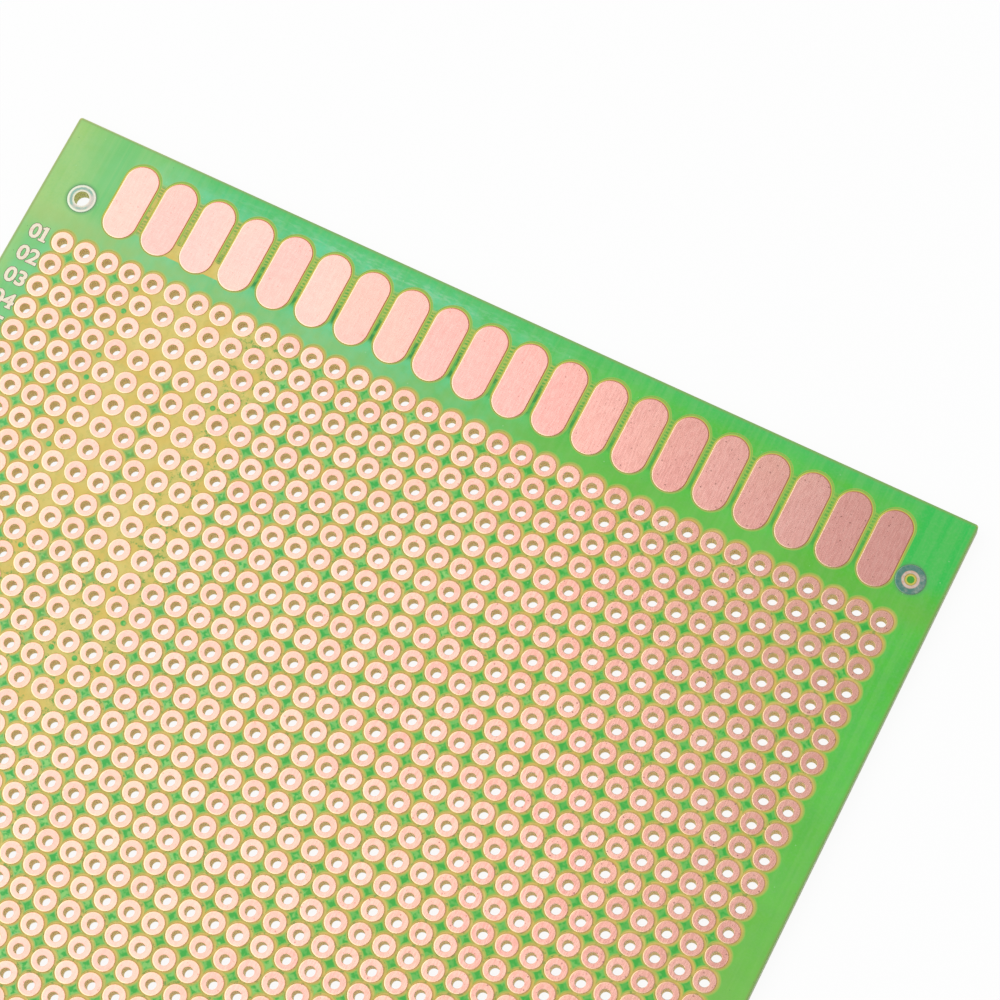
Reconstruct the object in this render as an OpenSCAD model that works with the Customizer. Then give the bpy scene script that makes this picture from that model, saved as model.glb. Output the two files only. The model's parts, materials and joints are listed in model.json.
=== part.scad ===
// Bare prototyping board. One drilled laminate sheet carries a grid of ring-shaped copper lands,
// a row of long contacts along one edge and two registration rings, with a printed coat of
// solder mask between them. Millimetres. +Z is the copper side, +Y is the contact edge, and the
// origin is at the middle of the underside.

/* [Laminate] */
// Thickness of the laminate sheet
board_t = 1.6; // [0.8:0.1:3.2]
// Radius of the outline's four corners
corner_r = 0.3; // [0.2:0.05:1]

/* [Hole grid] */
// Columns of lead holes, across the board
columns = 36; // [8:1:36]
// Rows of lead holes, counted from the contact edge
rows = 33; // [8:1:40]
// Centre distance of neighbouring lead holes
pitch = 2.54; // [2.5:0.01:3.2]
// Bore of a lead hole
hole_d = 1.04; // [0.8:0.02:1.4]
// How far the drilling sits off the lands, towards the plain edge
drill_offset = 0.06; // [0:0.01:0.1]
// Left edge to the middle of the first column
left_margin = 4.85; // [4.2:0.05:10]
// Middle of the last column to the right edge
right_margin = 4.27; // [2:0.05:10]
// Middle of the last row to the plain edge
bottom_margin = 4.2; // [2:0.05:10]

/* [Copper] */
// Thickness of the copper foil
copper_t = 0.035; // [0.018:0.001:0.105]
// Outside of the land round a lead hole
land_d = 2.2; // [1.7:0.05:2.25]

/* [Edge contacts] */
// Contacts in the row
contact_count = 20; // [4:1:20]
// Centre distance of neighbouring contacts
contact_pitch = 4.316; // [4.2:0.002:5]
// Width of a contact, which is also the diameter of its round ends
contact_w = 3.44; // [2:0.02:3.6]
// Length of a contact over its round ends
contact_l = 7.97; // [5:0.01:14]
// First column to the middle of the first contact
contact_shift = 4.105; // [3.5:0.005:8]
// Board edge to the near ends of the contacts
contact_edge_gap = 1.93; // [0.5:0.01:5]
// Far ends of the contacts to the middle of the first row of holes
contact_row_gap = 2.68; // [1.9:0.01:8]

/* [Registration marks] */
// Outside of the ring round the registration hole
guide_ring_d = 2.95; // [2.4:0.05:3.6]
// Bore of the registration hole
guide_hole_d = 1.55; // [1:0.05:2]
// Registration ring to the first contact
guide_gap = 1.44; // [0.5:0.01:1.5]
// Outside of the undrilled target
target_ring_d = 2.95; // [2.4:0.05:3.6]
// Bare window in the middle of the target
target_window_d = 1.2; // [0.9:0.05:1.6]
// Dot of mask in the target's window
target_dot_d = 0.72; // [0.3:0.02:0.8]
// Target to the last contact
target_gap = 0.29; // [0.2:0.01:1.5]
// Middle of the target to the right edge, at least
target_edge_gap = 3.1; // [2:0.05:8]
// Board edge to the middles of both marks
marks_edge_gap = 7.66; // [4:0.01:8]

/* [Solder mask] */
// Thickness of the printed coat
mask_t = 0.025; // [0.01:0.001:0.05]
// Bare ring of laminate between a land and the mask
mask_land_gap = 0.21; // [0.16:0.01:0.3]
// Bare ring of laminate between a contact and the mask
mask_contact_gap = 0.225; // [0.16:0.005:0.25]
// Bare ring of laminate between a registration mark and the mask
mask_mark_gap = 0.06; // [0.02:0.01:0.1]
// How far the print sits off the copper, away from the left edge
print_right = 0.05; // [0:0.01:0.1]
// How far the print sits off the copper, towards the contact edge
print_up = 0.1; // [0:0.01:0.12]
// Board edge to the mask
mask_edge_gap = 0.1; // [0.05:0.05:0.5]
// Speck of mask left where the print ran thin
speck_d = 0.55; // [0.3:0.05:0.7]
// Lower ends of the contacts to a failed end of the strip of mask between them
failed_strip_gap = 0.3; // [0.1:0.05:0.6]
// Length of a failed end of a strip
failed_strip_l = 1.6; // [0.5:0.1:4]

/* [Hidden] */
// Places between four lands where the mask print failed, as [gap between columns, first gap
// between rows, last gap between rows], all counted from 0
BARE_RUNS = [
    [4, 0, 10], [4, 12, 12], [5, 0, 8], [6, 0, 2], [7, 0, 10], [7, 12, 13], [7, 16, 16],
    [8, 0, 2], [8, 4, 10], [8, 12, 12], [8, 16, 16], [9, 0, 11], [9, 13, 13]
];
// The same for places where only a speck of mask is left
SPECK_RUNS = [
    [3, 0, 8], [4, 11, 11], [7, 14, 14], [8, 3, 3], [8, 11, 11], [8, 14, 15], [9, 12, 12],
    [9, 14, 14]
];
// Strips of mask between contacts that failed at their lower ends, counted from 0
FAILED_STRIPS = [1, 2];
// A failed print reaches this share of the pitch, past one island of mask but short of the next
FAULT_REACH = 0.9;

grid_w = (columns - 1) * pitch;
grid_l = (rows - 1) * pitch;
contact_row_w = (contact_count - 1) * contact_pitch;
top_margin = contact_edge_gap + contact_l + contact_row_gap;
first_contact = left_margin + contact_shift;
target_place = first_contact + contact_row_w + contact_w / 2 + target_gap + target_ring_d / 2;
board_w = max(left_margin + grid_w + right_margin, target_place + target_edge_gap);
board_l = top_margin + grid_l + bottom_margin;
guide_place = first_contact - contact_w / 2 - guide_gap - guide_ring_d / 2;
marks_y = board_l / 2 - marks_edge_gap;
land_window_d = land_d + 2 * mask_land_gap;

function column_x(i) = -board_w / 2 + left_margin + i * pitch;
function row_y(j) = board_l / 2 - top_margin - j * pitch;
function contact_x(k) = -board_w / 2 + first_contact + k * contact_pitch;
function numbered(stem, n) = str(stem, n < 10 ? "0" : "", n);

$fn = 32;

// A rectangle with rounded corners, about the origin
module rounded_rectangle(w, l, r) {
    square([w, l - 2 * r], center = true);
    square([w - 2 * r, l], center = true);
    for (sx = [-1, 1])
        for (sy = [-1, 1])
            translate([sx * (w / 2 - r), sy * (l / 2 - r)])
                circle(r = r);
}

// A straight slot with full round ends, along Y
module slot_outline(w, l) {
    square([w, l - w], center = true);
    for (end = [-1, 1])
        translate([0, end * (l - w) / 2])
            circle(d = w);
}

module ring_outline(outside, inside) {
    difference() {
        circle(d = outside);
        circle(d = inside);
    }
}

module at_each_land() {
    for (i = [0:columns - 1])
        for (j = [0:rows - 1])
            translate([column_x(i), row_y(j)])
                children();
}

// The lead holes are drilled in one go, a little off the middles of their lands
module lead_hole() {
    translate([0, -drill_offset])
        circle(d = hole_d);
}

module at_contact(k) {
    translate([contact_x(k), board_l / 2 - contact_edge_gap - contact_l / 2])
        children();
}

module at_each_contact() {
    for (k = [0:contact_count - 1])
        at_contact(k)
            children();
}

// The middle of the space between four lands, for each place in a list of runs
module at_each_fault(runs) {
    for (run = runs)
        for (j = [run[1]:run[2]])
            translate([column_x(run[0] + 0.5), row_y(j + 0.5)])
                children();
}

// The print missing from the lower end of a strip, from one contact's middle to the next one's
module failed_strip(k) {
    translate([contact_x(k), board_l / 2 - contact_edge_gap - contact_l + failed_strip_gap])
        square([contact_pitch, failed_strip_l]);
}

module at_guide() {
    translate([-board_w / 2 + guide_place, marks_y])
        children();
}

module at_target() {
    translate([-board_w / 2 + target_place, marks_y])
        children();
}

module print_offset() {
    translate([print_right, print_up])
        children();
}

// Copper foil lies on the laminate
module foil() {
    color("lightpink")
        translate([0, 0, board_t])
            linear_extrude(copper_t)
                children();
}

module laminate() {
    color("khaki")
        linear_extrude(board_t)
            difference() {
                rounded_rectangle(board_w, board_l, corner_r);
                at_each_land() lead_hole();
                at_guide() circle(d = guide_hole_d);
            }
}

// The coat stops short of every land and contact, and its print sits a little off them. Between
// four lands the windows run into each other, which leaves separate islands with hollow sides.
module solder_mask() {
    color("limegreen")
        translate([0, 0, board_t])
            linear_extrude(mask_t) {
                difference() {
                    rounded_rectangle(board_w - 2 * mask_edge_gap, board_l - 2 * mask_edge_gap, corner_r);
                    print_offset() {
                        at_each_land() circle(d = land_window_d);
                        at_each_contact()
                            slot_outline(contact_w + 2 * mask_contact_gap, contact_l + 2 * mask_contact_gap);
                        at_each_fault(BARE_RUNS) circle(d = FAULT_REACH * pitch);
                        at_each_fault(SPECK_RUNS) circle(d = FAULT_REACH * pitch);
                        for (k = FAILED_STRIPS) failed_strip(k);
                    }
                    at_guide() circle(d = guide_ring_d + 2 * mask_mark_gap);
                    at_target() circle(d = target_ring_d + 2 * mask_mark_gap);
                }
                print_offset() at_each_fault(SPECK_RUNS) circle(d = speck_d);
                at_target() circle(d = target_dot_d);
            }
}

module registration_ring() {
    foil() at_guide() ring_outline(guide_ring_d, guide_hole_d);
}

module target_ring() {
    foil() at_target() ring_outline(target_ring_d, target_window_d);
}

module contact(k) {
    foil() at_contact(k) slot_outline(contact_w, contact_l);
}

module land_column(i) {
    foil()
        for (j = [0:rows - 1])
            translate([column_x(i), row_y(j)])
                difference() {
                    circle(d = land_d);
                    lead_hole();
                }
}

laminate();
solder_mask();
registration_ring();
target_ring();
for (k = [1:contact_count])
    contact(k - 1);
for (i = [1:columns])
    land_column(i - 1);
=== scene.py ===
"""Looks of a bare prototyping board: drilled copper lands, edge contacts, two registration marks,
row numbers and a green mask print on amber laminate. Lengths in the helpers below are millimetres."""

import json
import math
from types import SimpleNamespace

import bmesh
import bpy
from mathutils import Matrix, Quaternion, Vector


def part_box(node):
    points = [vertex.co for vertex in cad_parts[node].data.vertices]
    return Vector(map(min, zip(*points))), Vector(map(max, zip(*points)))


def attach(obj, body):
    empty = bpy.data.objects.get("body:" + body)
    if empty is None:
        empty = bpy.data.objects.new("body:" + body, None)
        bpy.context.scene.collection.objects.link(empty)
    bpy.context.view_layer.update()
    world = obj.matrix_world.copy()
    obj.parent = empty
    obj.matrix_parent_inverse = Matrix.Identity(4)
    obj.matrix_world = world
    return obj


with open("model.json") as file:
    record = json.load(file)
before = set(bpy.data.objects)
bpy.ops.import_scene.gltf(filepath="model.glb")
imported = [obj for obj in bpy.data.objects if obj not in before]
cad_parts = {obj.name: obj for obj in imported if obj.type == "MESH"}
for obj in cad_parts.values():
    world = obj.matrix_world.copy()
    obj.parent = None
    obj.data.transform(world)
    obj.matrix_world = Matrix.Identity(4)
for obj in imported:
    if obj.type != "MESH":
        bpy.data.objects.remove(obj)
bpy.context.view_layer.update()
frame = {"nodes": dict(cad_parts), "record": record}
MM = 0.001

PRINTED_OFF = (0.05, 0.1)  # how far the mask print sits off the copper
LAND_GAP = 0.21  # bare ring of laminate round a land
CONTACT_GAP = 0.225  # bare ring of laminate round a contact
TARGET_WINDOW_R = 0.6  # bare window in the middle of the target


# ---------------------------------------------------------------- places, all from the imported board

def box_mm(node):
    """Lowest and highest corner of a CAD node, in millimetres."""
    low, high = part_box(node)
    return low / MM, high / MM


def mount(name):
    return next(m for m in frame["record"]["mounts"] if m["name"] == name)


def bore_radius(name):
    return mount(name)["dims"]["r_mm"]


def measure_board():
    """Where the grid, the contacts and the marks lie on the face."""
    first_low, first_high = box_mm("land_column_01")
    last_low, last_high = box_mm("land_column_36")
    contact_low, contact_high = box_mm("contact_01")
    last_contact_low, last_contact_high = box_mm("contact_20")
    guide_low, guide_high = box_mm("registration_ring")
    target_low, target_high = box_mm("target_ring")
    sheet_low, sheet_high = box_mm("laminate")
    b = SimpleNamespace()
    b.land_r = (first_high.x - first_low.x) / 2
    b.hole_r = bore_radius("lead_hole_row_01_left")
    b.first_x = (first_low.x + first_high.x) / 2
    b.columns = sum(name.startswith("land_column_") for name in frame["nodes"])
    b.pitch = ((last_low.x + last_high.x) / 2 - b.first_x) / (b.columns - 1)
    b.first_y = first_high.y - b.land_r
    b.last_y = first_low.y + b.land_r
    b.rows = round((b.first_y - b.last_y) / b.pitch) + 1
    b.drilled_y = mount("lead_hole_row_01_left")["pos_m"][1] / MM
    b.contacts = sum(name.startswith("contact_") for name in frame["nodes"])
    b.contact_r = (contact_high.x - contact_low.x) / 2
    b.contact_x = (contact_low.x + contact_high.x) / 2
    b.contact_y = (contact_low.y + contact_high.y) / 2
    b.contact_straight = (contact_high.y - contact_low.y) / 2 - b.contact_r
    b.contact_step = ((last_contact_low.x + last_contact_high.x) / 2 - b.contact_x) / (b.contacts - 1)
    b.guide = (guide_low + guide_high) / 2
    b.guide_r = (guide_high.x - guide_low.x) / 2
    b.guide_hole_r = bore_radius("registration_hole")
    b.target = (target_low + target_high) / 2
    b.target_r = (target_high.x - target_low.x) / 2
    b.left, b.right = sheet_low.x, sheet_high.x
    b.low, b.high = sheet_low.y, sheet_high.y
    b.face_z = sheet_high.z
    b.mask_z = box_mm("solder_mask")[1].z
    b.copper_z = first_high.z
    return b


BOARD = measure_board()


def column_x(column):
    """The middle of a column of lands, counted from 0 at the left."""
    return BOARD.first_x + column * BOARD.pitch


def row_y(row):
    """The middle of a row of lands, counted from 0 at the contacts."""
    return BOARD.first_y - row * BOARD.pitch


def contact_x(number):
    """The middle of a contact, counted from 0 at the left."""
    return BOARD.contact_x + number * BOARD.contact_step


# ---------------------------------------------------------------- shader maths

def paint(red, green, blue):
    """A display colour, 0 to 255, as the linear colour that a shader takes."""
    linear = [((c / 255 + 0.055) / 1.055) ** 2.4 if c > 10 else c / 3294 for c in (red, green, blue)]
    return (*linear, 1)


class Signal:
    """A number or colour that changes over a surface. Arithmetic on it adds the nodes that do it."""

    def __init__(self, finish, socket):
        self.finish = finish
        self.socket = socket

    def math(self, operation, *values):
        return self.finish.node("Math", {"operation": operation}, dict(enumerate(values)))

    def __add__(self, other):
        return self.math("ADD", self, other)

    __radd__ = __add__

    def __sub__(self, other):
        return self.math("SUBTRACT", self, other)

    def __rsub__(self, other):
        return self.math("SUBTRACT", other, self)

    def __mul__(self, other):
        return self.math("MULTIPLY", self, other)

    __rmul__ = __mul__

    def __truediv__(self, other):
        return self.math("DIVIDE", self, other)

    def __pow__(self, other):
        return self.math("POWER", self, other)

    def __neg__(self):
        return self.math("MULTIPLY", self, -1)

    def __abs__(self):
        return self.math("ABSOLUTE", self)

    def rounded(self):
        return self.math("ROUND", self)

    def sign(self):
        return self.math("SIGN", self)

    def sine(self):
        return self.math("SINE", self)

    def below(self, other):
        return self.math("LESS_THAN", self, other)

    def at_least(self, other):
        return self.math("MAXIMUM", self, other)

    def at_most(self, other):
        return self.math("MINIMUM", self, other)

    def within(self, low, high):
        return self.at_least(low).at_most(high)

    def rise(self, low, high):
        """0 up to low, 1 from high on, with a smooth step between them."""
        return self.finish.node(
            "MapRange", {"interpolation_type": "SMOOTHSTEP"},
            {"Value": self, "From Min": low, "From Max": high})

    def fall(self, low, high):
        return 1 - self.rise(low, high)

    def band(self, middle, half):
        """1 at the middle value, fading to 0 at half a width either side."""
        return abs(self - middle).fall(0, half)


class Finish:
    """One procedural material and the nodes that it is built from."""

    def __init__(self, name):
        self.material = bpy.data.materials.new(name)
        self.material.use_nodes = True
        self.tree = self.material.node_tree
        self.shader = self.tree.nodes["Principled BSDF"]
        place = Signal(self, self.tree.nodes.new("ShaderNodeTexCoord").outputs["Object"])
        self.place = self.node("VectorMath", {"operation": "SCALE"}, {0: place, "Scale": 1 / MM})
        split = self.tree.nodes.new("ShaderNodeSeparateXYZ")
        self.tree.links.new(self.place.socket, split.inputs[0])
        self.x, self.y, self.z = (Signal(self, split.outputs[i]) for i in range(3))

    def node(self, kind, settings, inputs, output=0):
        """Adds a node of any type, with its settings and then the values or links of its sockets."""
        made = self.tree.nodes.new("ShaderNode" + kind)
        for name, value in settings.items():
            setattr(made, name, value)
        for name, value in inputs.items():
            if isinstance(value, Signal):
                self.tree.links.new(value.socket, made.inputs[name])
            else:
                made.inputs[name].default_value = value
        return Signal(self, made.outputs[output])

    def mix(self, factor, first, second):
        """A colour between two colours."""
        return self.node("Mix", {"data_type": "RGBA"}, {0: factor, 6: first, 7: second}, 2)

    def between(self, factor, first, second):
        """A number between two numbers."""
        return first + factor * (second - first)

    def stretched(self, stretch, shift):
        spot = self.node("VectorMath", {"operation": "MULTIPLY"}, {0: self.place, 1: stretch})
        return self.node("VectorMath", {"operation": "ADD"}, {0: spot, 1: (shift, shift * 1.7, 0)})

    def cloud(self, size, stretch=(1, 1, 1), detail=2, shift=0, rough=0.5):
        """Soft noise around 0.5 whose lumps are about size millimetres across."""
        spot = self.stretched(stretch, shift)
        return self.node("TexNoise", {}, {
            "Vector": spot, "Scale": 1 / size, "Detail": detail, "Roughness": rough})

    def specks(self, cell, radius, share, shift):
        """1 inside scattered specks: one cell in so many holds a speck of the given radius."""
        inputs = {"Vector": self.stretched((1, 1, 1), shift), "Scale": 1 / cell}
        near = self.node("TexVoronoi", {"voronoi_dimensions": "2D"}, inputs)
        lot = self.node("TexVoronoi", {"voronoi_dimensions": "2D"}, inputs, 1)
        drawn = self.node("SeparateColor", {}, {0: lot})
        size = self.node("SeparateColor", {}, {0: lot}, 1)
        speck = near.fall(0.4 * radius / cell, radius / cell)
        return speck * drawn.below(share) * self.between(size, 0.5, 1)

    def lot(self, first, second, shift=0):
        """A fixed random number for each pair of whole numbers."""
        spot = self.node("CombineXYZ", {}, {0: first, 1: second, 2: shift + 0.5})
        return self.node("TexWhiteNoise", {"noise_dimensions": "3D"}, {"Vector": spot})

    def from_middle(self, middle):
        """Distance on the face from a point of the board."""
        dx = self.x - middle.x
        dy = self.y - middle.y
        return (dx * dx + dy * dy) ** 0.5

    def bump(self, height, depth, onto=None):
        """A normal from a height signal, where 1 stands depth millimetres up."""
        inputs = {"Height": height, "Distance": depth * MM, "Strength": 1.0}
        if onto is not None:
            inputs["Normal"] = onto
        return self.node("Bump", {}, inputs)

    def set(self, **sockets):
        """Sets or links the shader's sockets, named with _ for a space."""
        for name, value in sockets.items():
            socket = self.shader.inputs[name.replace("_", " ")]
            if isinstance(value, Signal):
                self.tree.links.new(value.socket, socket)
            else:
                socket.default_value = value
        return self.material


# ---------------------------------------------------------------- where a spot lies on the face

class Spot:
    """Distances on the face in millimetres, and which side of a piece of copper a spot is on.
    A print that sits a little off the copper passes how far, to get the distances to its windows."""

    def __init__(self, finish, printed_off=(0, 0)):
        self.finish = finish
        b = BOARD
        x, y = finish.x - printed_off[0], finish.y - printed_off[1]
        self.column = ((x - b.first_x) / b.pitch).rounded().within(0, b.columns - 1)
        self.row = ((b.first_y - y) / b.pitch).rounded().within(0, b.rows - 1)
        land_dx = x - (self.column * b.pitch + b.first_x)
        land_dy = y - (b.first_y - self.row * b.pitch)
        drilled_dy = land_dy + (b.first_y - b.drilled_y)
        from_land = (land_dx * land_dx + land_dy * land_dy) ** 0.5
        self.hole = (land_dx * land_dx + drilled_dy * drilled_dy) ** 0.5
        self.contact_number = ((x - b.contact_x) / b.contact_step).rounded().within(0, b.contacts - 1)
        contact_dx = x - (self.contact_number * b.contact_step + b.contact_x)
        self.along = y - b.contact_y
        over = (abs(self.along) - b.contact_straight).at_least(0)
        from_contact = (contact_dx * contact_dx + over * over) ** 0.5
        self.contact = from_contact - b.contact_r
        self.land = from_land - b.land_r
        self.guide = finish.from_middle(b.guide)
        self.target = finish.from_middle(b.target)
        self.marks = (self.guide - b.guide_r).at_most(self.target - b.target_r)
        self.copper = self.land.at_most(self.contact)
        self.by_contact = self.contact.below(self.land)
        contact_lean = (contact_dx + over * self.along.sign()) / (from_contact + 0.001)
        land_lean = (land_dx + land_dy) / (from_land + 0.001)
        self.shaded = self.away_from_light(finish.between(self.by_contact, land_lean, contact_lean))
        self.hole_shaded = self.away_from_light((land_dx + drilled_dy) / (self.hole + 0.001))

    def away_from_light(self, lean):
        """From -1 on the lower left side, which faces the light, to 1 on the upper right side."""
        return (lean * math.sqrt(0.5)).within(-1, 1)

    def edge(self):
        """Distance in from the board's own edge."""
        b = BOARD
        across = (self.finish.x - b.left).at_most(b.right - self.finish.x)
        return across.at_most((self.finish.y - b.low).at_most(b.high - self.finish.y))


def within_grid(f):
    """1 between the outer rows and columns of lands, where the mask is left as islands."""
    b = BOARD
    last_x = column_x(b.columns - 1)
    across = f.x.rise(b.first_x - 0.1, b.first_x) * f.x.fall(last_x, last_x + 0.1)
    return across * f.y.rise(b.last_y - 0.1, b.last_y) * f.y.fall(b.first_y, b.first_y + 0.1)


# ---------------------------------------------------------------- copper

# the contacts, counted from 0, between which the foil turns from bright to scored and takes a little
# painted shade
SCORED_FROM, SCORED_TO = 7, 15


def copper_finish():
    """Bare foil: fine grain along the board, faint mottling, dark pits, and a rolled edge."""
    f = Finish("bare_copper")
    s = Spot(f)
    noise = SimpleNamespace(
        grain=f.cloud(0.14, (1, 0.15, 1), rough=0.6),
        scratch=f.cloud(0.12, (0.12, 1, 1), shift=27),
        mottle=f.cloud(0.3, detail=3, shift=5))
    far_side = f.x.rise(contact_x(SCORED_FROM), contact_x(SCORED_TO))
    inside = -s.copper
    rim = s.hole - BOARD.hole_r
    colour = foil_tone(f, s, noise)
    colour = foil_grain(f, s, noise, far_side, colour)
    colour = foil_edges(f, s, noise, inside, colour)
    colour = foil_hole_rim(f, s, rim, colour)
    wide_pits = f.specks(1.1, 0.11, f.between(far_side, 0.12, 0.35), shift=3)
    pits = wide_pits.at_least(f.specks(0.42, 0.06, 0.16, shift=9))
    colour = f.mix(pits * f.between(far_side, 0.45, 0.8), colour, paint(140, 96, 88))
    height = noise.grain * 0.7 + noise.mottle * 0.15 + noise.scratch * 0.15
    normal = f.bump(height * f.between(far_side, 0.6, 1), 0.004)
    roll = inside.rise(0.0, 0.05) * rim.rise(-0.02, 0.04)
    normal = f.bump(roll, 0.004, normal)
    roughness = f.between(noise.grain, 0.19, 0.27)
    return f.set(Base_Color=colour, Metallic=0.9, Roughness=roughness, Normal=normal)


def foil_tone(f, s, noise):
    """The foil's own colour, a little different on every land and contact."""
    piece = f.lot(f.between(s.by_contact, s.column, s.contact_number), f.between(s.by_contact, s.row, -1))
    tone = noise.mottle.rise(0.3, 0.7) * 0.2 + noise.scratch.rise(0.4, 0.7) * 0.2 + piece * 0.6
    land_tone = f.mix(tone, paint(234, 170, 156), paint(246, 190, 174))
    contact_tone = f.mix(tone, paint(236, 168, 159), paint(246, 187, 177))
    return f.mix(s.by_contact, land_tone, contact_tone)


def foil_grain(f, s, noise, far_side, colour):
    """Brushed lines, dark and light, under dull blotches and broad warm drifts, with painted shade that
    deepens towards the right.
    """
    # dark scored lines, and a little painted shade over the whole foil towards the right
    scored_and_shaded = noise.grain.rise(0.44, 0.66) * f.between(far_side, 0.04, 0.2) + far_side * 0.05
    colour = f.mix(scored_and_shaded, colour, paint(176, 108, 98))
    bright_lines = noise.grain.fall(0.34, 0.5) * f.between(far_side, 0.06, 0.12)
    colour = f.mix(bright_lines, colour, paint(255, 216, 202))
    dull = f.cloud(0.22, detail=3, shift=70, rough=0.7).rise(0.5, 0.7)
    colour = f.mix(dull * f.between(s.by_contact, 0.22, 0.1), colour, paint(214, 172, 168))
    drift = f.cloud(9, (1, 0.6, 1), detail=1, shift=31)
    return f.mix(drift.rise(0.35, 0.7) * 0.2, colour, paint(240, 192, 162))


def foil_edges(f, s, noise, inside, colour):
    """The outer edges: a painted highlight towards the light, painted brown shade away from it, and a
    fainter painted highlight all round the lands.
    """
    sunny = inside.fall(0.02, 0.13) * s.shaded.fall(-0.6, 0.1)
    colour = f.mix(sunny * 0.6, colour, paint(252, 234, 186))
    # painted highlight: a cream ring all round each land's edge, patchy with the mottle
    rim_tint = inside.fall(0.03, 0.16) * (1 - s.by_contact) * noise.mottle.rise(0.25, 0.6)
    colour = f.mix(rim_tint * 0.4, colour, paint(244, 214, 166))
    shady = inside.fall(0.0, 0.07) * s.shaded.rise(-0.2, 0.6)
    return f.mix(shady * f.between(s.by_contact, 0.3, 0.7), colour, paint(186, 112, 76))


def foil_hole_rim(f, s, rim, colour):
    """Ragged rim of a drilled hole: painted shadow in brown on the upper right side, away from the light,
    and a duller pink on the lower left side.
    """
    ragged = f.cloud(0.22, shift=12)
    # painted shadow: brown along the rim on the side away from the light
    rim_shadow = rim.fall(0.0, 0.09) * s.hole_shaded.rise(-0.5, 0.5) * ragged.rise(0.3, 0.6)
    colour = f.mix(rim_shadow * 0.5, colour, paint(186, 132, 104))
    # a duller pink along the rim on the lower left side
    rim_tint = rim.fall(0.02, 0.14) * s.hole_shaded.fall(-0.2, 0.8) * ragged.rise(0.2, 0.5)
    return f.mix(rim_tint * 0.6, colour, paint(206, 172, 150))


def tinned_copper(name, middle, inner_r, outer_r, band, least_ink, teal, pale, bright):
    """Foil of a registration mark: a band of blue-green ink between two radii, bare to both sides,
    turning to the bright colour along both rims, which on the registration ring is a painted highlight.
    The ink is thinner on one side of the mark, down to the least share."""
    f = Finish(name)
    r = f.from_middle(middle)
    mottle = f.cloud(0.3, detail=3, shift=3)
    unevenness = (f.cloud(0.9, shift=47) - 0.5) * 2.2
    thin_side = ((f.x - middle.x) * 0.5 - (f.y - middle.y) * 0.25 + unevenness).rise(-0.1, 0.6)
    bare = f.mix(mottle.rise(0.3, 0.7) * 0.6, pale, paint(238, 226, 208))
    bare = f.mix(thin_side * 0.6, bare, paint(228, 204, 200))
    edge = outer_r - 0.05
    # both rims turn to the bright colour: a painted highlight on the registration ring
    bare = f.mix((edge - r).fall(0.04, 0.2) * 0.85, bare, bright)
    bare = f.mix((r - inner_r).fall(0.0, 0.12) * 0.5, bare, bright)
    wavy = r + (mottle - 0.5) * 0.14
    inked = wavy.rise(band[0], band[0] + 0.12) * wavy.fall(band[1] - 0.1, band[1])
    ink = f.mix(mottle.rise(0.35, 0.7) * f.between(thin_side, 0.25, 0.8), teal, paint(152, 164, 154))
    colour = f.mix(inked * f.between(thin_side, 0.95, least_ink), bare, ink)
    outline = (edge - r).fall(-0.02, 0.03)
    colour = f.mix(outline * 0.6, colour, f.mix(thin_side, paint(112, 166, 120), paint(86, 138, 100)))
    normal = f.bump((outer_r - r).rise(0, 0.12) + mottle * 0.2, 0.03)
    return f.set(Base_Color=colour, Metallic=0.35, Roughness=f.between(mottle, 0.35, 0.5), Normal=normal,
                 Coat_Weight=0.5, Coat_Roughness=0.3)


# ---------------------------------------------------------------- solder mask

def mask_finish():
    """Screen-printed mask: uneven green, thin and yellow at its windows and between the contacts."""
    f = Finish("green_mask")
    s = Spot(f, PRINTED_OFF)
    noise = SimpleNamespace(
        broad=f.cloud(6, (1, 0.8, 1), shift=2).rise(0.32, 0.68),
        patch=f.cloud(1.5, detail=3, shift=17),
        fine=f.cloud(0.22, shift=40))
    from_window = (s.land - LAND_GAP).at_most(s.contact - CONTACT_GAP)
    colour = mask_ground(f, noise)
    colour = mask_left_side(f, noise, colour)
    colour = mask_smears(f, noise, colour)
    colour = mask_islands(f, s, noise, colour)
    colour = strip_between_contacts(f, s, colour)
    colour = mask_edges(f, s, noise, from_window, colour)
    colour = mask_dust(f, colour)
    height = noise.patch * 0.6 + noise.fine * 0.25 + from_window.rise(0.0, 0.25) * 0.4
    return f.set(Base_Color=colour, Roughness=f.between(noise.patch, 0.34, 0.46),
                 Normal=f.bump(height, 0.015),
                 Specular_IOR_Level=0.35, Coat_Weight=0.2, Coat_Roughness=0.3)


def mask_ground(f, noise):
    """Sea green on the left that turns leaf green on the right, deeper along the contact edge and
    in the corner by the target."""
    b = BOARD
    sea = f.mix(noise.broad, paint(86, 211, 136), paint(100, 221, 160))
    leaf = f.mix(noise.broad, paint(80, 200, 44), paint(88, 210, 70))
    colour = f.mix((f.x + (noise.patch - 0.5) * 14).rise(-12, 14), sea, leaf)
    colour = f.mix(noise.patch.rise(0.35, 0.7) * 0.4, colour, paint(78, 194, 84))
    by_edge = f.y.rise(b.high - 2.0, b.high - 1.0) * 0.5 + f.y.rise(b.high - 1.0, b.high - 0.4) * 0.25
    colour = f.mix(by_edge, colour, paint(62, 202, 96))
    wander = (noise.patch - 0.5) * 2
    corner = (f.x + wander).rise(b.target.x - 3.4, b.target.x - 0.8) * (f.y + wander).rise(
        b.target.y - 1.4, b.target.y + 0.6)
    return f.mix(corner * 0.85, colour, paint(36, 204, 82))


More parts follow.
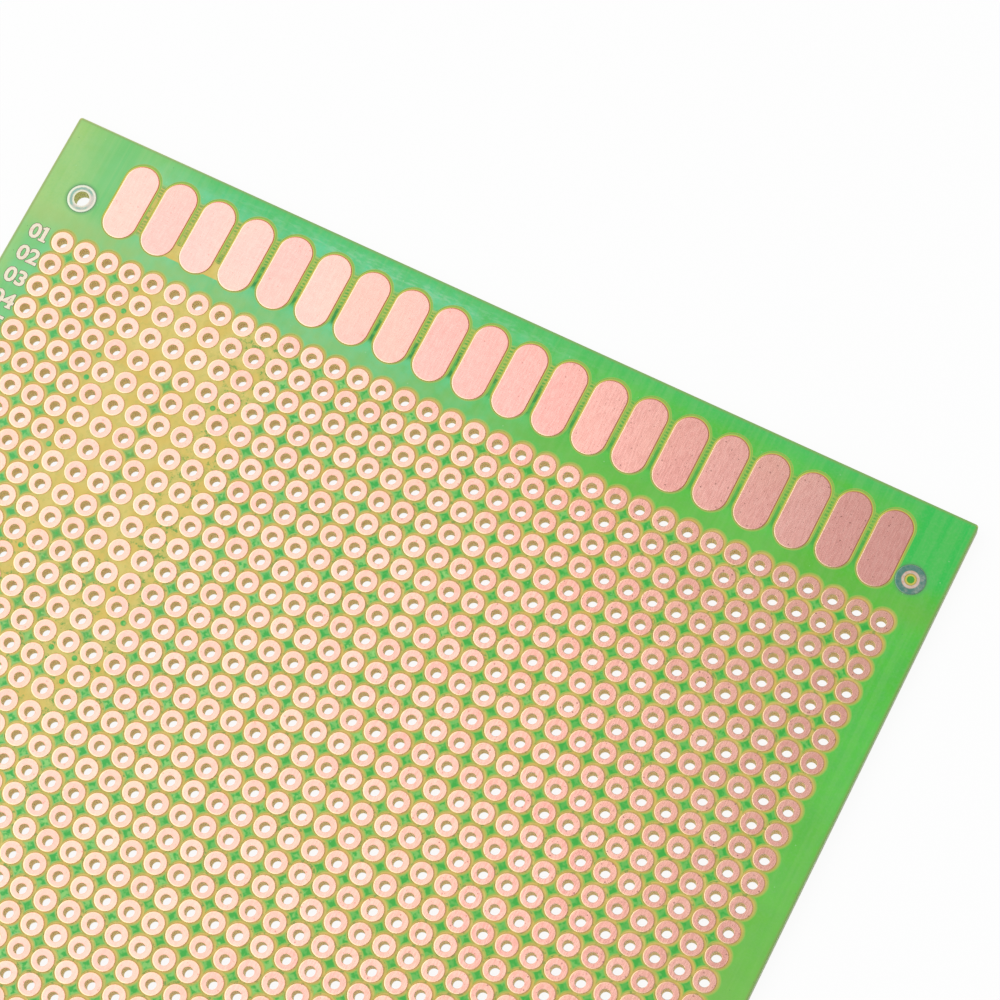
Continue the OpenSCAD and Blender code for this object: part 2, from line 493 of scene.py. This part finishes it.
def mask_left_side(f, noise, colour):
    """Paler towards the left edge, where the coat runs thin and a painted sheen is added, with faint
    lines along the board.
    """
    b = BOARD
    by_numbers = f.y.rise(b.first_y - 1.5, b.first_y + 3)
    # paler towards the left: partly a thin coat, partly painted sheen
    pale = f.x.fall(b.left - 2, b.left + 19) * f.between(by_numbers, 0.35, 1)
    margin = f.x.fall(b.left + 0.6, b.left + 2.4)
    pale = pale.at_least(margin * f.between(noise.patch, 0.5, 0.9))
    colour = f.mix(pale * f.between(noise.broad, 0.6, 0.8), colour, paint(196, 222, 118))
    by_first_contact = (f.x - (b.contact_x - 3)).band(0, 5.5) * f.y.rise(b.first_y + 2.5, b.first_y + 5)
    colour = f.mix(by_first_contact * 0.55, colour, paint(84, 206, 114))
    lines = f.cloud(0.45, (1, 0.02, 1), shift=60).rise(0.35, 0.7)
    colour = f.mix(lines * f.between(pale, 0.12, 0.3), colour, paint(176, 220, 140))
    return f.mix(noise.fine.rise(0.4, 0.75) * 0.22, colour, paint(128, 208, 122))


def mask_smears(f, noise, colour):
    """A pale wipe above the contacts, a haze below them, and a warmer green down the board."""
    b = BOARD
    wiped = f.cloud(0.34, (0.3, 1, 1), detail=4, shift=88, rough=0.65).rise(0.44, 0.64)
    wiped = wiped * (f.y - (b.high - 1.5)).band(0, 1.3) * (f.x + 13).band(0, 30)
    colour = f.mix(wiped * 0.5, colour, paint(170, 226, 180))
    over_first_row = f.y - (b.first_y + 1.9)
    haze = over_first_row.band(0, 1.7) * f.cloud(1.1, (1, 0.5, 1), shift=52).rise(0.3, 0.6)
    haze = haze * f.x.fall(b.left, b.right - 16)
    colour = f.mix(haze * 0.4, colour, paint(164, 206, 118))
    below = over_first_row.band(0, 2.4) * f.between(noise.patch, 0.2, 0.5)
    colour = f.mix(below, colour, f.mix(f.x.rise(-34, 12), paint(172, 208, 118), paint(126, 190, 62)))
    warm = f.y.fall(-14, 30) * f.x.rise(-25, 10) * f.between(f.y.fall(-14, 6), 0.6, 0.8)
    return f.mix(warm, colour, paint(142, 200, 84))


def mask_islands(f, s, noise, colour):
    """The islands between the lands: faded edges round a deep green heart, frayed near the failed
    print, and each with its own share of painted glints."""
    b = BOARD
    within = within_grid(f)
    fuzz = (f.cloud(0.28, detail=3, shift=29, rough=0.65) - 0.5) * 0.3
    island = s.land + fuzz
    weak_side = f.x.fall(b.left + 12, b.left + 22)
    faded = within * island.fall(0.2, f.between(weak_side, 0.36, 0.44))
    colour = f.mix(faded * f.between(weak_side, 0.6, 0.85), colour, paint(184, 194, 88))
    column = ((f.x - b.first_x) / b.pitch - 0.5).rounded()
    row = ((b.first_y - f.y) / b.pitch - 0.5).rounded()
    # painted glints: bright patches in the islands' hearts, fewer towards the right
    painted_glints = f.cloud(0.55, shift=83).rise(0.42, 0.61) * f.between(f.lot(column, row, 4), 0.35, 1)
    painted_glints = painted_glints * f.between(f.x.rise(4, 26), 1, 0.55)
    deep = f.mix(painted_glints, paint(44, 182, 62), paint(160, 224, 120))
    heart = within * island.rise(0.26, 0.4)
    colour = f.mix(heart * f.between(weak_side, 0.9, 0.7), colour, deep)
    near_failure = (f.x - column_x(6.9)).band(0, 12) * f.y.rise(b.first_y - 44, b.first_y - 30)
    frayed = s.land.fall(0.46, 0.66) * f.between(noise.patch, 0.4, 1)
    return f.mix(within * near_failure * frayed * 0.8, colour, paint(140, 172, 78))


def strip_between_contacts(f, s, colour):
    """The narrow strips of mask between the contacts, where the print skipped in dashes."""
    b = BOARD
    half_gap = b.contact_step / 2 - b.contact_r
    first, last = contact_x(0), contact_x(b.contacts - 1)
    strip = s.contact.fall(half_gap + 0.02, half_gap + 0.12) * abs(s.along).fall(
        b.contact_straight + 0.2, b.contact_straight + 0.9)
    strip = strip * f.x.rise(first - 0.1, first) * f.x.fall(last, last + 0.1)
    between = ((f.x - b.contact_x) / b.contact_step - 0.5).rounded()
    chance = f.lot(between, 3)
    bare_side = f.x.fall(b.left + 17, b.left + 24)
    even_side = f.x.rise(2, 20)
    wavy = s.contact + (f.cloud(0.3, shift=33) - 0.5) * 0.2
    core = wavy.rise(CONTACT_GAP - 0.04, CONTACT_GAP + 0.05)
    blob = f.cloud(0.5, (1, 0.6, 1), detail=3, shift=14).rise(0.4, 0.54)
    dashes_per_mm = 1 / 0.36
    rungs = (s.along * (2 * math.pi * dashes_per_mm) + f.cloud(0.7, shift=71) * 8 + between * 2.3).sine()
    rungs = rungs * 0.5 + 0.5
    start = f.between(chance, -1.4, 0.4)
    printed_thin = (s.along - start + (f.cloud(0.6, shift=71) - 0.5) * 3).rise(-0.8, 0.8)
    dark = f.mix(even_side, paint(40, 152, 62), paint(70, 174, 58))
    dense = f.mix(blob * f.between(even_side, 1, 0.6), paint(88, 188, 76), dark)
    bared = f.mix(even_side, paint(184, 202, 88), paint(152, 200, 78))
    skipped = f.mix(rungs.rise(0.25, 0.7) * f.between(blob, 0.5, 1), bared, paint(96, 178, 70))
    inside = f.mix(printed_thin, dense, skipped)
    rail = f.mix(f.between(printed_thin, rungs * 0.4, 0.8), paint(84, 170, 76), paint(204, 198, 86))
    amber = f.mix(core * blob * rungs.rise(0.1, 0.5) * 0.65, paint(216, 198, 98), paint(96, 164, 68))
    printed = f.mix(core, rail, inside)
    printed = f.mix(bare_side * f.between(chance, 0.6, 1), printed, amber)
    return f.mix(strip, colour, printed)


def mask_edges(f, s, noise, from_window, colour):
    """The coat thins to yellow at its windows and to olive along the board's own edge."""
    thin = from_window.fall(0.0, f.between(s.by_contact, 0.2, 0.1))
    colour = f.mix(thin * f.between(noise.fine, 0.5, 0.95), colour, paint(194, 200, 90))
    colour = f.mix(s.marks.fall(0.06, 0.4) * 0.5, colour, paint(92, 172, 104))
    target_dot = s.target.fall(0.42, 0.5)
    colour = f.mix(target_dot, colour, f.mix(noise.fine, paint(52, 160, 40), paint(86, 184, 56)))
    rim_line = s.edge().fall(0.14, 0.36)
    return f.mix(rim_line * 0.45, colour, paint(150, 160, 92))


def mask_dust(f, colour):
    """Bright and dull specks in the print."""
    bright_dust = f.specks(1.3, 0.08, 0.14, shift=8)
    colour = f.mix(bright_dust * 0.45, colour, paint(196, 236, 190))
    dull_dust = f.specks(1.7, 0.08, 0.12, shift=21)
    return f.mix(dull_dust * 0.5, colour, paint(48, 120, 70))


# ---------------------------------------------------------------- laminate

def laminate_finish():
    """Cut resin laminate: amber on its face, olive where it is sawn, and pale in the drilled holes."""
    f = Finish("amber_laminate")
    s = Spot(f)
    fibre = f.cloud(0.5, (1, 0.25, 1), detail=3, shift=7)
    face = f.z.rise(BOARD.face_z - 0.05, BOARD.face_z - 0.01)
    saw = f.cloud(0.3, (1, 1, 0.3), detail=3, shift=23)
    sawn = s.edge().fall(0.02, 0.2)
    film = f.cloud(1.1, detail=4, shift=63, rough=0.6)
    colour = resin_ground(f, fibre)
    colour = film_of_failed_print(f, film, colour)
    colour = ring_round_lands(f, s, film, colour)
    colour = ring_round_contacts(f, s, fibre, colour)
    colour = ring_round_marks(f, s, colour)
    colour = etched_and_shadow_line(f, s, face, colour)
    colour = hole_walls(f, s, face, colour)
    colour = sawn_edge(f, face, saw, sawn, colour)
    normal = f.bump(fibre * 0.6 + saw * sawn, 0.012)
    return f.set(Base_Color=colour, Roughness=f.between(fibre, 0.42, 0.6), Normal=normal)


def resin_ground(f, fibre):
    """Amber resin with paler patches, the fibre that shows through, and small dull stains."""
    patch = f.cloud(2.4, shift=11)
    colour = f.mix(patch.rise(0.3, 0.7), paint(232, 202, 98), paint(232, 214, 120))
    colour = f.mix(fibre.rise(0.4, 0.7) * 0.25, colour, paint(216, 190, 96))
    stain = f.cloud(0.45, detail=3, shift=44).rise(0.48, 0.7)
    return f.mix(stain * 0.4, colour, paint(196, 196, 100))


def film_of_failed_print(f, film, colour):
    """A green film with clots, left on the right and lower sides of the place where the print failed."""
    beside_failure = f.x.rise(column_x(7), column_x(9)).at_least(f.y.fall(row_y(11), row_y(9)))
    left_behind = beside_failure * within_grid(f)
    colour = f.mix(film.rise(0.44, 0.6) * left_behind * 0.45, colour, paint(176, 190, 84))
    clot = f.cloud(0.5, detail=4, shift=53, rough=0.7).rise(0.52, 0.6) * film.rise(0.46, 0.56)
    return f.mix(clot * left_behind * 0.85, colour, paint(98, 168, 70))


def ring_round_lands(f, s, film, colour):
    """The bare ring round a land: more orange next to the copper, with mask bled in from its outside."""
    within = within_grid(f)
    past_failure = f.x.rise(column_x(9.5), column_x(11)).at_least(f.x.fall(column_x(3), column_x(4)))
    by_land = 1 - s.by_contact
    orange_next_to_copper = s.land.fall(0.12, 0.22) * by_land * past_failure
    colour = f.mix(orange_next_to_copper * 0.3, colour, paint(216, 158, 76))
    from_window = Spot(f, PRINTED_OFF).land
    bleed = from_window.rise(f.between(within, 0.02, 0.1), f.between(within, 0.13, 0.3))
    bleed = bleed * f.between(film, 0.4, 1) * (1 - within).at_least(past_failure) * by_land
    return f.mix(bleed * 0.75, colour, paint(160, 182, 84))


def ring_round_contacts(f, s, fibre, colour):
    """The bare ring round a contact: brown, then yellow, then green, and green at the lower ends.
    Between the second, third and fourth contacts the print failed, and amber laminate is left."""
    b = BOARD
    lower = s.along + b.contact_straight
    failed = f.x.rise(contact_x(1), contact_x(1) + 0.1) * f.x.fall(contact_x(3) - 0.1, contact_x(3))
    failed = failed * s.along.fall(-2, -1.8) * lower.rise(-1.5, -1.3) * s.contact.rise(0.02, 0.12)
    ring = s.by_contact * s.contact.fall(0.5, 0.6) * (1 - failed)
    wavy = s.contact + (fibre - 0.5) * 0.08
    brown_to_yellow = f.mix(wavy.rise(-0.02, 0.05), paint(152, 124, 66), paint(234, 222, 84))
    colour = f.mix(ring * 0.9, colour, f.mix(wavy.rise(0.1, 0.17), brown_to_yellow, paint(138, 198, 78)))
    return f.mix(ring * lower.fall(-0.9, 0) * 0.7, colour, paint(132, 184, 92))


def ring_round_marks(f, s, colour):
    """The target's yellow window and the green line round both marks."""
    in_window = f.mix((s.target - 0.55).band(0, 0.08), paint(216, 206, 88), paint(198, 158, 80))
    colour = f.mix(s.target.fall(0.6, 0.66), colour, in_window)
    return f.mix(s.marks.rise(-0.06, -0.02) * s.marks.fall(0.06, 0.12), colour, paint(112, 166, 108))


def etched_and_shadow_line(f, s, face, colour):
    """The brown line where the foil ends: an etched edge with painted shadow, stronger on the side away
    from the light.
    """
    shade = s.shaded.rise(-0.6, 0.4)
    strength = f.between(s.by_contact, f.between(shade, 0.15, 0.3), f.between(shade, 0.45, 0.8))
    # painted shadow of the foil's edge, over its etched line
    etched_and_shadow = s.copper.fall(0.02, f.between(shade, 0.1, 0.16)) * strength
    return f.mix(etched_and_shadow * face, colour, paint(184, 124, 72))


def hole_walls(f, s, face, colour):
    """Pale drilled walls with turning marks, more olive in the registration hole."""
    b = BOARD
    drilled = (s.hole - b.hole_r).fall(0.0, 0.05).at_least((s.guide - b.guide_hole_r).fall(0.0, 0.05))
    rings = f.cloud(0.35, (0.4, 0.4, 2.2), detail=3, shift=19)
    resin = f.mix(rings.rise(0.35, 0.65), paint(236, 208, 136), paint(250, 236, 164))
    resin = f.mix((s.guide - b.guide_r).fall(0, 0.1) * 0.8, resin, paint(206, 214, 118))
    return f.mix(drilled * (1 - face), colour, resin)


def sawn_edge(f, face, saw, sawn, colour):
    """The outline's sawn sides, with a wash of mask along the face's rim."""
    olive = f.mix(saw.rise(0.4, 0.6), paint(146, 166, 106), paint(174, 188, 132))
    washed = f.mix(f.x.fall(BOARD.left + 1, BOARD.left + 26), paint(120, 180, 96), paint(182, 202, 136))
    return f.mix(sawn * 0.95, colour, f.mix(face, olive, washed))


# ---------------------------------------------------------------- row numbers

NUMBER_SIZE = 2.18  # the font's size
NUMBER_WIDEN = 1.1  # how many times wider than the font's the digits are
NUMBER_FROM_GRID = 2.44  # middle of a number to the first column
NUMBER_DROP = 0.05  # middle of a number below its row
NUMBER_STEP = 0.002  # how much thinner the units are than the tens, which they can touch
DIGIT_MIDDLE = 0.341  # middle of a digit over its foot, as a share of the font's size

# how much fatter than the font's strokes the print is, how far it starts below the mask's top face,
# and how far it ends over it or below the copper's top face
STROKE_SWELL = 0.065
STROKE_SUNK = 0.006
STROKE_UNDER_COPPER = 0.001
OUTLINE_SWELL = 0.12
OUTLINE_SUNK = 0.004
OUTLINE_OVER = 0.004


def number_finish():
    """Row numbers: pale foil strokes."""
    f = Finish("pale_foil")
    mottle = f.cloud(0.16, detail=3, shift=2)
    colour = f.mix(mottle.rise(0.35, 0.65), paint(250, 234, 204), paint(253, 246, 224))
    blush = f.cloud(0.5, detail=1, shift=9).rise(0.52, 0.66)
    colour = f.mix(blush * 0.6, colour, paint(248, 214, 196))
    return f.set(Base_Color=colour, Metallic=0.1, Roughness=f.between(mottle, 0.4, 0.5),
                 Normal=f.bump(mottle, 0.006))


def outline_finish():
    """The dark edge round a number: the mask's window round it, darkened with painted shadow."""
    f = Finish("window_edge_and_shadow")
    patch = f.cloud(0.2, shift=1)
    # painted shadow: dark olive round the raised print
    colour = f.mix(patch, paint(92, 118, 74), paint(128, 116, 86))
    return f.set(Base_Color=colour, Roughness=0.5, Normal=f.bump(patch, 0.005))


def row_numbers(name, swell, low, high, material, fill_counters=False):
    """Every row's number as flat print between two heights, tens and units each in a column of
    their own. The plain digits are thin, so swell makes them fatter all round. A swell that would
    close the small counter of a 4 needs a plate in it instead."""
    shape = bmesh.new()
    advance = NUMBER_SIZE / 2 * NUMBER_WIDEN
    for place in (0, 1):
        x = (place - 0.5) * advance
        digits = [row_label(row)[place] for row in range(BOARD.rows)]
        thickness = high - low - place * NUMBER_STEP
        add_font_digits(shape, name, digits, x, swell, thickness)
        for row, digit in enumerate(digits):
            y = -row * BOARD.pitch
            if digit == "1":
                add_one(shape, x, y, 2 * swell, thickness)
            if digit == "4":
                add_foot_of_four(shape, x, y, 2 * swell, thickness)
            if digit == "4" and fill_counters:
                add_plate_in_four(shape, x, y, thickness)
    bmesh.ops.remove_doubles(shape, verts=shape.verts, dist=1e-4)
    bmesh.ops.recalc_face_normals(shape, faces=shape.faces)
    home = Vector((BOARD.first_x - NUMBER_FROM_GRID, BOARD.first_y - NUMBER_DROP, (low + high) / 2))
    bmesh.ops.translate(shape, verts=shape.verts, vec=home)
    bmesh.ops.scale(shape, verts=shape.verts, vec=(MM, MM, MM))
    piece = as_object(name, shape)
    piece.data.materials.append(material)
    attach(piece, "root")


def row_label(row):
    return f"{row + 1:02d}"


def add_font_digits(shape, name, digits, x, swell, thickness):
    """A column of the font's digits, widened, with the middle of each one at x and on its row."""
    known = len(shape.verts)
    shape.from_mesh(printed_column(name, digits, swell, thickness))
    shape.verts.ensure_lookup_table()
    # a digit's cell is half as wide as the font's size
    to_middle = Matrix.Translation((-NUMBER_SIZE / 4, -NUMBER_SIZE * DIGIT_MIDDLE, 0))
    to_cell = Matrix.Translation((x, 0, 0)) @ Matrix.Diagonal((NUMBER_WIDEN, 1, 1, 1)) @ to_middle
    bmesh.ops.transform(shape, verts=shape.verts[known:], matrix=to_cell)


def printed_column(name, digits, swell, thickness):
    """A mesh of digits below one another. The 1s are left out, since the plain 1 has no feet."""
    column = bpy.data.curves.new(name, "FONT")
    column.body = "\n".join(digit.replace("1", " ") for digit in digits)
    column.size = NUMBER_SIZE
    column.space_line = BOARD.pitch / NUMBER_SIZE
    column.offset = swell
    column.extrude = thickness / 2
    column.resolution_u = 3
    printed = bpy.data.objects.new(name + "_print", column)
    bpy.context.scene.collection.objects.link(printed)
    bpy.context.view_layer.update()
    mesh = bpy.data.meshes.new_from_object(printed)
    bpy.data.objects.remove(printed)
    return mesh


def add_one(shape, x, y, grown, thickness):
    """A 1 of a stem, a foot and a slanting flag. Each is a little thinner than the one before, so
    that no two faces lie in one plane."""
    stem, foot, flag = (0.26, 1.48), (0.64, 0.09), (0.3, 0.08)
    add_bar(shape, (x - 0.18, y), stem, grown, thickness)
    add_bar(shape, (x - 0.17, y - 0.69), foot, grown, thickness * 0.98)
    add_bar(shape, (x - 0.38, y + 0.6), flag, grown, thickness * 0.96, tilt=24)


def add_foot_of_four(shape, x, y, grown, thickness):
    foot = (0.5, 0.06)
    add_bar(shape, (x + 0.22, y - 0.71), foot, grown, thickness * 0.98)


def add_plate_in_four(shape, x, y, thickness):
    """A plate over a 4's counter, thick enough to cover the strokes that have met there."""
    plate = (0.4, 0.5)
    add_bar(shape, (x, y + 0.15), plate, 0, thickness * 1.15)


def add_bar(shape, middle, size, grown, thickness, tilt=0):
    """A straight stroke of a digit, grown both ways and turned by tilt degrees."""
    place = Matrix.Translation((middle[0], middle[1], 0)) @ Matrix.Rotation(math.radians(tilt), 4, "Z")
    stroke = Matrix.Diagonal((size[0] + grown, size[1] + grown, thickness, 1))
    bmesh.ops.create_cube(shape, size=1, matrix=place @ stroke)


def as_object(name, shape):
    """Turns a finished bmesh into an object of the scene."""
    mesh = bpy.data.meshes.new(name)
    shape.to_mesh(mesh)
    shape.free()
    made = bpy.data.objects.new(name, mesh)
    bpy.context.scene.collection.objects.link(made)
    return made


# ---------------------------------------------------------------- floor, light and camera

def grey(level):
    return (level, level, level, 1)


def floor_and_backdrop():
    """A plain white floor that keeps the board's soft shadow and shows white to the camera."""
    shape = bmesh.new()
    bmesh.ops.create_grid(shape, x_segments=1, y_segments=1, size=4)
    floor = as_object("floor", shape)
    f = Finish("floor")
    rays = f.tree.nodes.new("ShaderNodeLightPath")
    seen = Signal(f, rays.outputs["Is Camera Ray"])
    seen = seen.at_least(Signal(f, rays.outputs["Is Glossy Ray"]))
    seen = seen.at_least(Signal(f, rays.outputs["Is Transmission Ray"]))
    f.set(Base_Color=grey(0.08), Roughness=1.0, Specular_IOR_Level=0.0,
          Emission_Color=f.mix(seen, grey(0.6), grey(0.92)), Emission_Strength=1.0)
    floor.data.materials.append(f.material)


def white_world(strength):
    """White to the camera, and an even soft light for everything else."""
    world = bpy.data.worlds.new("studio")
    bpy.context.scene.world = world
    world.use_nodes = True
    tree = world.node_tree
    rays = tree.nodes.new("ShaderNodeLightPath")
    level = tree.nodes.new("ShaderNodeMapRange")
    level.inputs["To Min"].default_value = strength
    level.inputs["To Max"].default_value = 1.0
    tree.links.new(rays.outputs["Is Camera Ray"], level.inputs["Value"])
    tree.links.new(level.outputs[0], tree.nodes["Background"].inputs["Strength"])
    tree.nodes["Background"].inputs["Color"].default_value = grey(1)


def softbox(name, azimuth, elevation, distance, size, watts, aim):
    """A round soft light, placed in metres and degrees round the point that it faces."""
    light = bpy.data.lights.new(name, "AREA")
    light.shape = "DISK"
    light.size = size
    light.energy = watts
    lamp = bpy.data.objects.new(name, light)
    bpy.context.scene.collection.objects.link(lamp)
    away = direction(azimuth, elevation)
    lamp.location = aim + away * distance
    lamp.rotation_euler = (-away).to_track_quat("-Z", "Y").to_euler()


def camera(aim, azimuth, elevation, distance, roll, lens):
    """The camera, placed in metres and degrees round its aim, and the length of its lens in mm."""
    data = bpy.data.cameras.new("camera")
    data.lens = lens
    data.sensor_width = 36
    data.clip_start = 0.01
    data.clip_end = 20
    made = bpy.data.objects.new("camera", data)
    bpy.context.scene.collection.objects.link(made)
    away = direction(azimuth, elevation)
    made.location = aim + away * distance
    made.rotation_mode = "QUATERNION"
    turn = (-away).to_track_quat("-Z", "Y")
    made.rotation_quaternion = turn @ Quaternion((0, 0, 1), math.radians(-roll))
    bpy.context.scene.camera = made


def direction(azimuth, elevation):
    around, up = math.radians(azimuth), math.radians(elevation)
    return Vector((math.cos(up) * math.cos(around), math.cos(up) * math.sin(around), math.sin(up)))


# ---------------------------------------------------------------- the board, dressed

def clothe(node, material):
    for slot in frame["nodes"][node].material_slots:
        slot.material = material


def dress_board():
    b = BOARD
    copper = copper_finish()
    for name in frame["nodes"]:
        if name.startswith(("land_column_", "contact_")):
            clothe(name, copper)
    clothe("solder_mask", mask_finish())
    clothe("laminate", laminate_finish())
    # the registration ring's bright colour is a painted rim highlight
    clothe("registration_ring", tinned_copper(
        "guide_foil", b.guide, inner_r=b.guide_hole_r, outer_r=b.guide_r,
        band=(0.9, 1.26), least_ink=0.3,
        teal=paint(132, 180, 162), pale=paint(216, 220, 192), bright=paint(244, 252, 228)))
    clothe("target_ring", tinned_copper(
        "target_foil", b.target, inner_r=TARGET_WINDOW_R, outer_r=b.target_r,
        band=(0.82, 1.5), least_ink=0.85,
        teal=paint(44, 128, 114), pale=paint(216, 166, 142), bright=paint(164, 196, 168)))
    row_numbers("number_outlines", OUTLINE_SWELL, b.mask_z - OUTLINE_SUNK, b.mask_z + OUTLINE_OVER,
                outline_finish(), fill_counters=True)
    row_numbers("row_numbers", STROKE_SWELL, b.mask_z - STROKE_SUNK, b.copper_z - STROKE_UNDER_COPPER,
                number_finish())


dress_board()
floor_and_backdrop()
white_world(strength=0.58)
softbox("key", azimuth=182, elevation=55.5, distance=0.9, size=1.12, watts=3.75, aim=Vector((0, 0, 0)))
camera(aim=Vector((0.00686, 0.03148, 0.00164)), azimuth=-52.747, elevation=71.918, distance=0.35789,
       roll=10.885, lens=134.49)
bpy.context.scene.view_settings.view_transform = "Standard"
